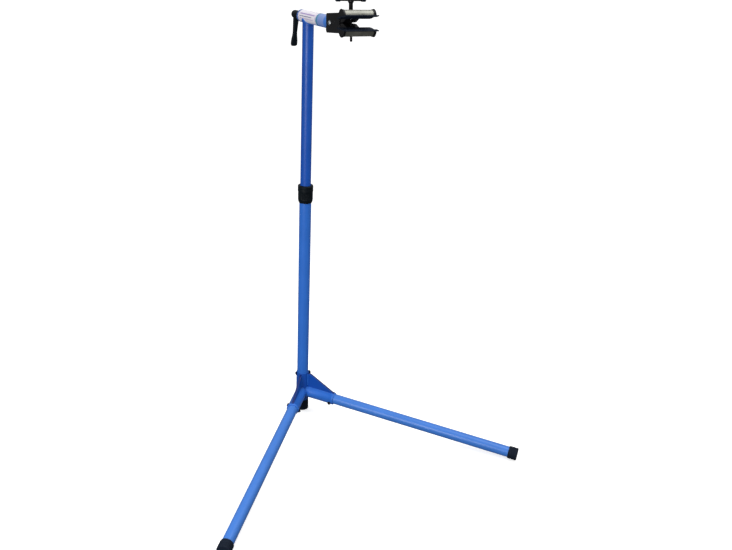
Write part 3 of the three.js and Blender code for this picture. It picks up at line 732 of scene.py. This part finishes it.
def label_material():
    """A printed wrap: pale ground with plain coloured bands and bars, no lettering. The pale sky band at the
    front end is the tube's own blue made paler, a painted highlight.
    """
    material = surface("printed_wrap", (0.76, 0.73, 0.80), (0.84, 0.81, 0.88), (0.3, 0.38), grain=500,
                       bump=0.05, coat=0.4)
    tree = material.node_tree
    shader = tree.nodes["Principled BSDF"]
    place = tree.nodes.new("ShaderNodeTexCoord")
    parts = tree.nodes.new("ShaderNodeSeparateXYZ")
    tree.links.new(place.outputs["Object"], parts.inputs["Vector"])
    colour = shader.inputs["Base Color"].links[0].from_socket
    lilac, teal, navy = (0.36, 0.26, 0.55), (0.03, 0.20, 0.36), (0.02, 0.03, 0.20)
    # sky is the tube's blue made paler: a painted highlight over the arm's front end
    sky, blue = (0.16, 0.26, 0.58), (0.020, 0.10, 0.42)
    rear, front, around = -43, 147, (-30, 30)  # along the arm, and right round it
    # a span along the arm, a span of heights from its centre line, and a colour
    bars = ((92, front, *around, sky), (92, 103, *around, teal), (86, 88, *around, lilac),
            (rear, -36, *around, blue), (-33, -31.5, *around, lilac), (-24, 80, 9.0, 12.5, lilac),
            (-24, 62, 2.5, 4.5, navy), (-24, 74, -4.5, -3.0, lilac))
    for x_low, x_high, z_low, z_high, tint in bars:
        mix = tree.nodes.new("ShaderNodeMix")
        mix.data_type = "RGBA"
        mix.inputs["B"].default_value = (*tint, 1)
        along = band(tree, parts.outputs["X"], x_low * MM, x_high * MM)
        upward = band(tree, parts.outputs["Z"], (ARM_HEIGHT + z_low) * MM, (ARM_HEIGHT + z_high) * MM)
        tree.links.new(product(tree, along, upward), mix.inputs["Factor"])
        tree.links.new(colour, mix.inputs["A"])
        colour = mix.outputs["Result"]
    tree.links.new(colour, shader.inputs["Base Color"])
    return material


def build_label():
    """A thin wrap round most of the arm, open along the bottom."""
    steps = 94
    inner, outer = ARM_RADIUS + 0.03, ARM_RADIUS + 0.22
    reach = math.radians(WRAP_REACH)
    section = ((inner, WRAP_REAR), (outer, WRAP_REAR), (outer, WRAP_FRONT), (inner, WRAP_FRONT))
    verts, faces = [], []
    for k in range(steps + 1):
        angle = -reach + 2 * reach * k / steps
        for radius, station in section:
            verts.append((station, radius * math.sin(angle), radius * math.cos(angle)))
    for k in range(steps):
        for i in range(4):
            j = (i + 1) % 4
            faces.append((4 * k + i, 4 * k + j, 4 * k + 4 + j, 4 * k + 4 + i))
    faces += [(0, 1, 2, 3), tuple(4 * steps + i for i in range(4))]
    wrap = object_from("arm_label", verts, faces, ARM)
    finish(wrap, label_material(), "upper_mast", ())


# ---------------------------------------------------------------- lock handle
def smooth_step(t):
    t = min(max(t, 0.0), 1.0)
    return t * t * (3 - 2 * t)


def build_handle():
    hub = [(0, HUB_REAR), (9.6, HUB_REAR), (13, HUB_REAR + 4.5), (13, HUB_REAR + 24), (10.2, -66),
           (10, HUB_FRONT), (HUB_BORE, HUB_FRONT), (HUB_BORE, HUB_FLOOR), (0, HUB_FLOOR)]
    body = lathe("lever_handle", hub, "x", place=ARM, edge=2.2)
    verts, faces = [], []
    sides, steps = 40, 48
    for i in range(steps + 1):
        t = i / steps
        drop, centre = LEVER_LENGTH * t, LEVER_AT - LEVER_LEAN * t
        half = 10.4 - 5.6 * min(t, 0.52) + 4.0 * smooth_step((t - 0.55) / 0.32)
        deep = 7.4 - 2.2 * t
        past = (drop - LEVER_LENGTH + 8) / 8  # 0 where the end starts to close, 1 at its tip
        squeeze = math.sqrt(max(0.0, 1 - past**2)) if past > 0 else 1.0
        half, deep = half * (0.45 + 0.55 * squeeze), deep * max(squeeze, 0.05)
        for k in range(sides):
            angle = 2 * math.pi * k / sides
            c, s = math.cos(angle), math.sin(angle)
            verts.append((centre + deep * math.copysign(abs(c) ** 0.75, c),
                          half * math.copysign(abs(s) ** 0.75, s), -drop))
    for i in range(steps):
        for k in range(sides):
            n = (k + 1) % sides
            faces.append((i * sides + k, i * sides + n, (i + 1) * sides + n, (i + 1) * sides + k))
    faces += [tuple(range(sides)), tuple(range(steps * sides, (steps + 1) * sides))]
    lever = object_from("lever_blank", verts, faces, ARM)
    bore = plug("lever_bore", HUB_BORE, HUB_FLOOR, -40, "x", (0, 0, 0), ARM)
    recess = plug("lever_recess", 6, HUB_REAR - 5, HUB_REAR + 3, "x", (0, 0, 0), ARM)
    combine(body, (lever, "UNION"), (bore, "DIFFERENCE"), (recess, "DIFFERENCE"))
    eased(body, 0.7, 6)
    finish(body, PLASTIC, "handle", ["lock_handle"], sharp=60)


# ---------------------------------------------------------------- clamp head
def jaw_frame(side):
    """A jaw's own frame: x along the pad from its rear edge, z away from the clamped tube."""
    mirror = Matrix.Scale(side, 4, (0, 0, 1))
    spot = Matrix.Translation((PAD_CORNER[0] * MM, 0, PAD_CORNER[1] * MM))
    return HEAD @ mirror @ spot @ Matrix.Rotation(-math.radians(JAW_OPEN), 4, "Y")


def cover_outline(margin, low=0.0, steps=24):
    """The half-round back of a jaw, grown by a margin, from its front foot round to its rear foot."""
    across, rise = COVER_WIDTH + margin, COVER_HEIGHT - COVER_BASE + margin
    arc = [Vector((COVER_MIDDLE + across * math.cos(a), COVER_BASE + rise * math.sin(a)))
           for a in (math.pi * k / steps for k in range(steps + 1))]
    return [Vector((arc[0].x, low))] + arc + [Vector((arc[-1].x, low))]


def build_jaw(name, side):
    body = f"{name}_jaw_arm"
    place = jaw_frame(side)
    cast(f"{name}_jaw_casting", f"{name}_jaw", BLACK_STEEL, body, voxel=0.8, passes=5)

    shell = cover_outline(0, 1.8) + cover_outline(-1.8, 1.8)[::-1]
    cover = extruded(f"{name}_cover_sheet", shell, COVER_HALF, place)
    finish(cover, COVER, body, [f"{name}_jaw_cover"], sharp=50)
    trim = cover_outline(0.9, 1.8) + cover_outline(0.1, 1.8)[::-1]
    half = 2.1
    for end, across in (("left", COVER_HALF - half), ("right", half - COVER_HALF)):
        spot = place @ Matrix.Translation((0, across * MM, 0))
        strip = extruded(f"{name}_{end}_cover_trim", trim, half, spot)
        finish(strip, BLACK_STEEL, body, (), sharp=50)

    face = [(0, -2.5)]
    groove_pitch, stride = 2.85, 0.475
    for i in range(1, int(PAD_DEPTH / stride)):
        u = i * stride
        vee = -2.5 + 2.3 * max(0.0, 1 - abs(u - 30) / 14) if u < 44 else -2.5 + 1.3 * (u - 44) / 13
        face.append((u, vee + 0.28 * math.sin(2 * math.pi * u / groove_pitch)))
    lip = [(PAD_DEPTH, -1.2), (PAD_DEPTH + 0.3, 0.2), (PAD_DEPTH - 0.4, 1.5), (0, 1.5)]
    pad = extruded(f"{name}_pad_strip", face + lip, PAD_HALF, place)
    finish(pad, RUBBER, body, [f"{name}_jaw_pad"], sharp=45)
    for end in ("left", "right"):
        cast(f"{name}_{end}_cheek", f"{name}_jaw_{end}_plate", BLACK_STEEL, body, voxel=0.45,
             passes=3)


def build_head():
    cast("yoke_casting", "clamp_body", BLACK_STEEL, "clamp_head", voxel=0.8, passes=5)
    for name, side in (("upper", 1), ("lower", -1)):
        build_jaw(name, side)
        centre = (PIVOT_X, 0, side * PIVOT_Z)
        end = [(5, YOKE_HALF), (7.5, YOKE_HALF), (7.5, YOKE_HALF + 0.9), (5.5, YOKE_HALF + 2.2),
               (0, YOKE_HALF + 2.2)]
        rivet = [(radius, -station) for radius, station in end[::-1]] + end
        pin = lathe(f"{name}_pivot_rivet", rivet, "y", centre, HEAD, edge=0.5)
        finish(pin, BLACK_STEEL, "clamp_head", [f"{name}_jaw_pin"])
    spot = (YOKE_BOLT_X, 0, head_line(YOKE_BOLT_X) - ARM_HEIGHT)
    seat = YOKE_HALF
    dome = [(0, -27.3), (3.2, -27.1), (5.6, -26.0), (7, -24.0), (7, -seat), (4, -seat), (4, 30), (0, 30)]
    bolt = lathe("yoke_cross_bolt", dome, "y", spot, ARM, edge=0.5)
    finish(bolt, ZINC, "clamp_head", ["yoke_bolt"])
    nut("yoke_lock_nut", "yoke_nut", 6.5, 4.3, seat, seat + 6, ZINC, "clamp_head", ARM, spot)


# ---------------------------------------------------------------- clamp screw
def build_screw():
    tip, step, pitch, depth = SCREW_TIP, TRUNNION_Z, 2.5, 0.75
    shank = TRUNNION_Z + TRUNNION_RADIUS + 1
    profile = [(0, tip), (3.0, tip)]
    turns = int((step - 1 - tip) / (pitch / 8))
    profile += [(4.0, tip + 0.6 + i * pitch / 8) for i in range(turns)]
    profile += [(4.0, step), (5.0, step), (5.0, shank), (5.7, shank), (6.0, shank + 0.6),
                (6.0, BAR_Z - 11), (6.8, BAR_Z - 9.4), (8.5, BAR_Z - 8), (8.5, BAR_Z + 7),
                (8.1, BAR_Z + 8.3), (7, BAR_Z + 9), (0, BAR_Z + 9)]

    def thread(angle, radius, station):
        """A helical vee groove down the thin end of the screw."""
        if radius != 4.0 or station >= step:
            return radius, station
        phase = (station / pitch - angle / (2 * math.pi)) % 1
        fade = min(1.0, (station - tip) / 3)
        return radius - depth * fade * (1 - abs(2 * phase - 1)) - 0.5 * (1 - fade), station

    rod = lathe("clamp_screw_rod", profile, "z", (SCREW_X, 0, 0), HEAD, steps=48, edge=0, shape=thread)
    centre = (SCREW_X, 0, BAR_Z)
    hole = plug("bar_hole", BAR_RADIUS + 0.3, -20, 20, "y", centre, HEAD)
    combine(rod, (hole, "DIFFERENCE"))
    finish(rod, BLACK_STEEL, "screw", ["clamp_screw"], sharp=30)

    inner = BAR_HALF - 2
    bar = plug("tommy_bar_rod", BAR_RADIUS, -inner, inner, "y", centre, HEAD, edge=1)
    finish(bar, BLACK_STEEL, "tommy_bar", ["t_bar"])
    for name, side in (("left", 1), ("right", -1)):
        far = BAR_HALF + 2
        near = BAR_HALF - KNOB_LENGTH
        cap = [(0, far), (4.0, far), (6.4, far - 1.6), (7, far - 4), (7, near + 4.6), (6.5, near + 4),
               (6.5, near + 3), (7, near + 2.4), (7, near + 0.6), (6.4, near), (5.6, near),
               (5.6, inner + 0.3), (0, inner + 0.3)]
        cap = [(radius, side * station) for radius, station in cap]
        piece = lathe(f"bar_{name}_knob", cap, "y", centre, HEAD, edge=0.5)
        finish(piece, RUBBER, "tommy_bar", [f"t_bar_{name}_cap"])


# ---------------------------------------------------------------- carried-over CAD nodes
def carry_over():
    """Plain turned pieces that stay as the CAD made them and only take a material."""
    looks = {
        ZINC: ("clamp_shaft", "thrust_washer", "handle_screw", "upper_trunnion", "lower_trunnion_nut",
               "screw_retaining_ring"),
        BRASS: ("handle_insert",),
        NYLON: ("collet_bushing", "mast_guide_bush"),
    }
    for material, names in looks.items():
        for name in names:
            mesh = NODES[name].data
            mesh.materials.clear()
            mesh.materials.append(material)


build_camera()
build_stage()
build_light()
build_base()
build_mast()
build_arm()
build_handle()
build_head()
build_screw()
carry_over()
